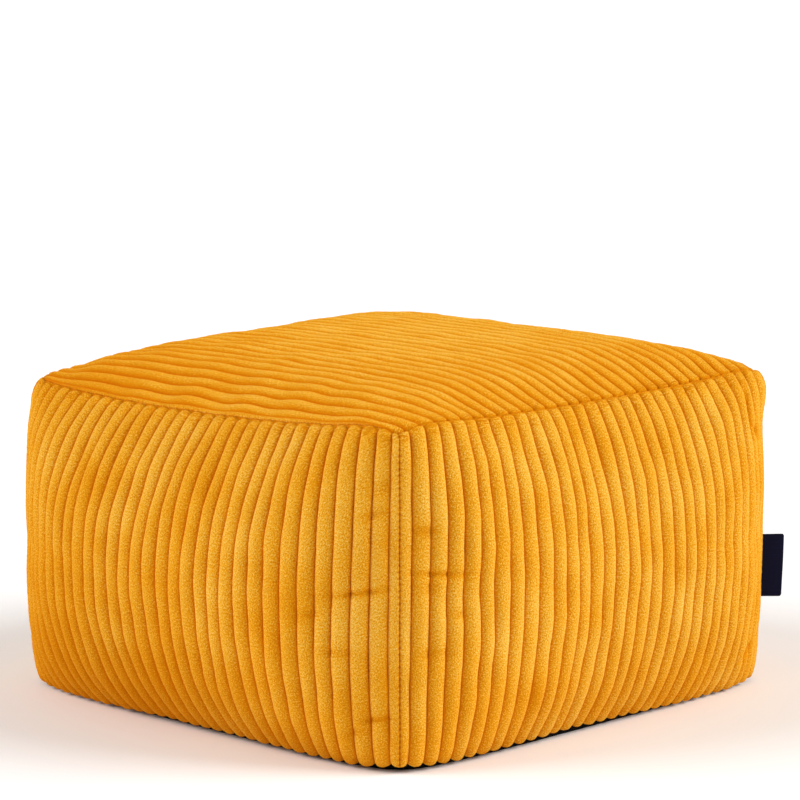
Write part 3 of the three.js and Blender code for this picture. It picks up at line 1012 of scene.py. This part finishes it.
def cord_material():
    """Plush cord: tufts, deep grooves, brushed patches, cracks where the ribs bend, and painted light and
    shade.
    """
    look = Look("cord", {
        "Roughness": 0.9,
        "Specular IOR Level": 0.03,
        "Sheen Weight": 0.06,
        "Sheen Roughness": 0.3,
        "Sheen Tint": (1, 0.8, 0.25),
    })
    place = look.attribute("cloth", "Vector")
    tufts = look.noise(place, (760, 620, 1), 3, 0.65)
    fine = look.noise(place, (1500,) * 3, 2, 0.6)
    grain = look.math("MULTIPLY_ADD", fine, 0.4, look.math("MULTIPLY", tufts, 0.6))
    # Cracks across the ribs, in clumps near their ends, but not in the very seam.
    to_end = look.attribute("to_end")
    beyond_seam = look.spread(to_end, 0.0008, 0.0035, 0.1, 1)
    near_end = look.math("MULTIPLY", look.spread(to_end, 0.004, 0.02, 1, 0), beyond_seam)
    clumps = look.spread(look.noise(place, (60, 45, 1), 1, 0.5), 0.42, 0.62)
    cracks = look.spread(look.noise(place, (100, 700, 1), 2, 0.55), 0.5, 0.42)
    crack = look.math("MULTIPLY", look.math("MULTIPLY", clumps, near_end), cracks)
    patches = look.spread(look.noise(place, (40, 22, 1), 2, 0.5), 0.3, 0.7, -0.5, 0.5)
    brushed_and_painted_light = look.math("ADD", look.attribute("brushed_and_painted_light"), patches)
    # Painted shade at the rib ends in the seams.
    seam_shade = look.spread(to_end, 0.0005, 0.0045, 1, 0)
    # Tone: 0 is the middle colour. Below 0, a weight makes it darker.
    tone = look.spread(grain, 0.39, 0.61, -0.72, 0.64)
    for value, weight in (
        # Brushing, with painted shade at the feet and painted light on the right side.
        (brushed_and_painted_light, 0.14),
        (crack, -0.9),
        # Painted shade at the rib ends in the seams.
        (seam_shade, -0.45),
        # Painted shade in the dents, darker the deeper they are.
        (look.attribute("dent"), -0.18),
        # Painted sheen and shade on the rib flanks.
        (look.attribute("painted_flank_light"), 0.2),
    ):
        tone = look.math("MULTIPLY_ADD", value, weight, tone)
    colour = look.blend(look.spread(tone, -0.65, 0), PILE_DARK, PILE_MIDDLE)
    colour = look.blend(look.spread(tone, 0, 0.65), colour, PILE_LIGHT)
    pile = look.math("MULTIPLY_ADD", grain, 0.3, look.attribute("pile"))
    # Painted shade in the grooves: the colour turns to the groove's where the pile is low.
    colour = look.blend(look.spread(pile, 0.2, 0.8), GROOVE_SHADE_COLOUR, colour)
    # Painted shade: pits between the stitches of the upright seams, ragged from the pile.
    along_seam = look.split(place)[1]
    pulse = look.math("SINE", look.math("MULTIPLY", along_seam, 2 * math.pi / STITCH_PITCH))
    pulse = look.math("MULTIPLY_ADD", look.spread(tufts, 0.35, 0.65, -1, 1), 1.2, pulse)
    jags = look.spread(look.noise(place, (1, 420, 1), 2, 0.6), 0.35, 0.65, -0.0009, 0.0012)
    to_side = look.spread(look.math("ADD", look.attribute("to_side"), jags), 0.0024, 0.0007)
    pit = look.math("MULTIPLY", look.spread(pulse, -0.6, 1.4), to_side)
    colour = look.blend(look.math("MULTIPLY", pit, 0.85), colour, PIT_SHADE_COLOUR)
    look.bump(look.math("MULTIPLY_ADD", crack, -0.3, grain), 0.0022, 0.75)
    return look.coloured(colour)


def base_cloth_material():
    """Plain black woven cloth with a little lint."""
    look = Look("base_cloth", {"Roughness": 0.9, "Specular IOR Level": 0.1})
    place = look.attribute("cloth", "Vector")
    weave = look.weave(place, BASE_THREAD_PITCH)
    lint = look.spread(look.noise(place, (260,) * 3, 3, 0.6), 0.6, 0.75)
    colour = look.blend(weave, *BASE_THREADS)
    colour = look.blend(look.math("MULTIPLY", lint, 0.15), colour, LINT_COLOUR)
    look.bump(weave, 0.0004, 0.6)
    return look.coloured(colour)


def ribbon_material():
    """Dense navy woven ribbon."""
    look = Look("tab_ribbon", {
        "Roughness": 0.75,
        "Specular IOR Level": 0.12,
        "Sheen Weight": 0.02,
        "Sheen Roughness": 0.4,
        "Sheen Tint": (0.55, 0.62, 1),
    })
    place = look.attribute("cloth", "Vector")
    weave = look.weave(place, RIBBON_THREAD_PITCH)
    wear = look.noise(place, (90, 700, 1), 3, 0.6)
    colour = look.blend(weave, *RIBBON_THREADS)
    colour = look.blend(look.spread(wear, 0.45, 0.75, 0, 0.5), colour, RIBBON_WORN)
    look.bump(look.math("MULTIPLY_ADD", wear, 0.4, weave), 0.00025, 0.6)
    return look.coloured(colour)


def floor_material():
    """Matt pale floor with the faintest mottle."""
    look = Look("floor", {"Roughness": 0.9, "Specular IOR Level": 0.1})
    mottle = look.noise(look.add("ShaderNodeTexCoord", {}, "Object"), (3,) * 3)
    return look.coloured(look.blend(look.spread(mottle, 0.3, 0.7), *FLOOR_COLOURS))


# ---- stage, light and camera

FLOOR_SIZE = 90
WORLD_STRENGTH = 0.4
SOFTBOX_ANGLE = 40
# Azimuth, elevation and strength of each softbox.
SOFTBOXES = {"right_softbox": (128, 33, 2.7), "left_softbox": (-38, 33, 2.1)}
SOFTBOX_DISTANCE = 5
LIGHT_TARGET = (0, 0, 0.15)
CAMERA_PLACE = (2.32, -2.3735, 0.804)
CAMERA_WAY = (-0.6894, 0.7072, -0.1571)
CAMERA_LENS = 158.1


def make_stage():
    bpy.ops.mesh.primitive_plane_add(size=FLOOR_SIZE, location=(0, 0, 0))
    floor = bpy.context.object
    floor.name = "floor"
    floor.data.materials.append(floor_material())
    world = bpy.data.worlds.new("studio")
    world.use_nodes = True
    background = world.node_tree.nodes["Background"].inputs
    background["Color"].default_value = (1, 1, 1, 1)
    background["Strength"].default_value = WORLD_STRENGTH
    bpy.context.scene.world = world
    bpy.context.scene.view_settings.view_transform = "Standard"


def soft_light(name, azimuth, elevation, strength):
    """A wide, distant softbox, even over the whole floor. Azimuth 0 is in front, 90 on the right."""
    data = bpy.data.lights.new(name, "SUN")
    data.angle = math.radians(SOFTBOX_ANGLE)
    data.energy = strength
    light = new_object(name, data)
    azimuth, elevation = math.radians(azimuth), math.radians(elevation)
    back = Vector((
        math.sin(azimuth) * math.cos(elevation),
        -math.cos(azimuth) * math.cos(elevation),
        math.sin(elevation),
    ))
    light.location = Vector(LIGHT_TARGET) + back * SOFTBOX_DISTANCE
    light.rotation_euler = (-back).to_track_quat("-Z", "Y").to_euler()


def make_camera():
    data = bpy.data.cameras.new("camera")
    data.lens = CAMERA_LENS
    camera = new_object("camera", data)
    camera.location = CAMERA_PLACE
    camera.rotation_euler = Vector(CAMERA_WAY).to_track_quat("-Z", "Y").to_euler()
    bpy.context.scene.camera = camera


# ---- making

shifts = simulated_shifts()
cord = cord_material()
made = []
sides = []
for side in SIDES:
    # Each side is sewn to the one before it, and the last one to the first as well.
    before = sides[-1][:, -1] if sides else None
    after = sides[0][:, 0] if len(sides) == len(SIDES) - 1 else None
    made.append(side_panel(side, shifts[side["name"]], cord, (before, after, None, None)))
    sides.append(made[-1][1])
made.append(top_panel(shifts["top_panel"], cord, [grid[-1] for grid in sides]))
for panel, _ in made:
    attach(panel, "root")
    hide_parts("filled_cover")

feet = np.concatenate([grid[0, :-1:3] for grid in sides])
base = base_cloth(feet, base_cloth_material())
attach(base, "root")
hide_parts("base_panel")

tab = side_tab(sides[1][:, -1], ribbon_material())
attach(tab, "root")
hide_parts("side_tab")

make_stage()
for name, aim_and_strength in SOFTBOXES.items():
    soft_light(name, *aim_and_strength)
make_camera()

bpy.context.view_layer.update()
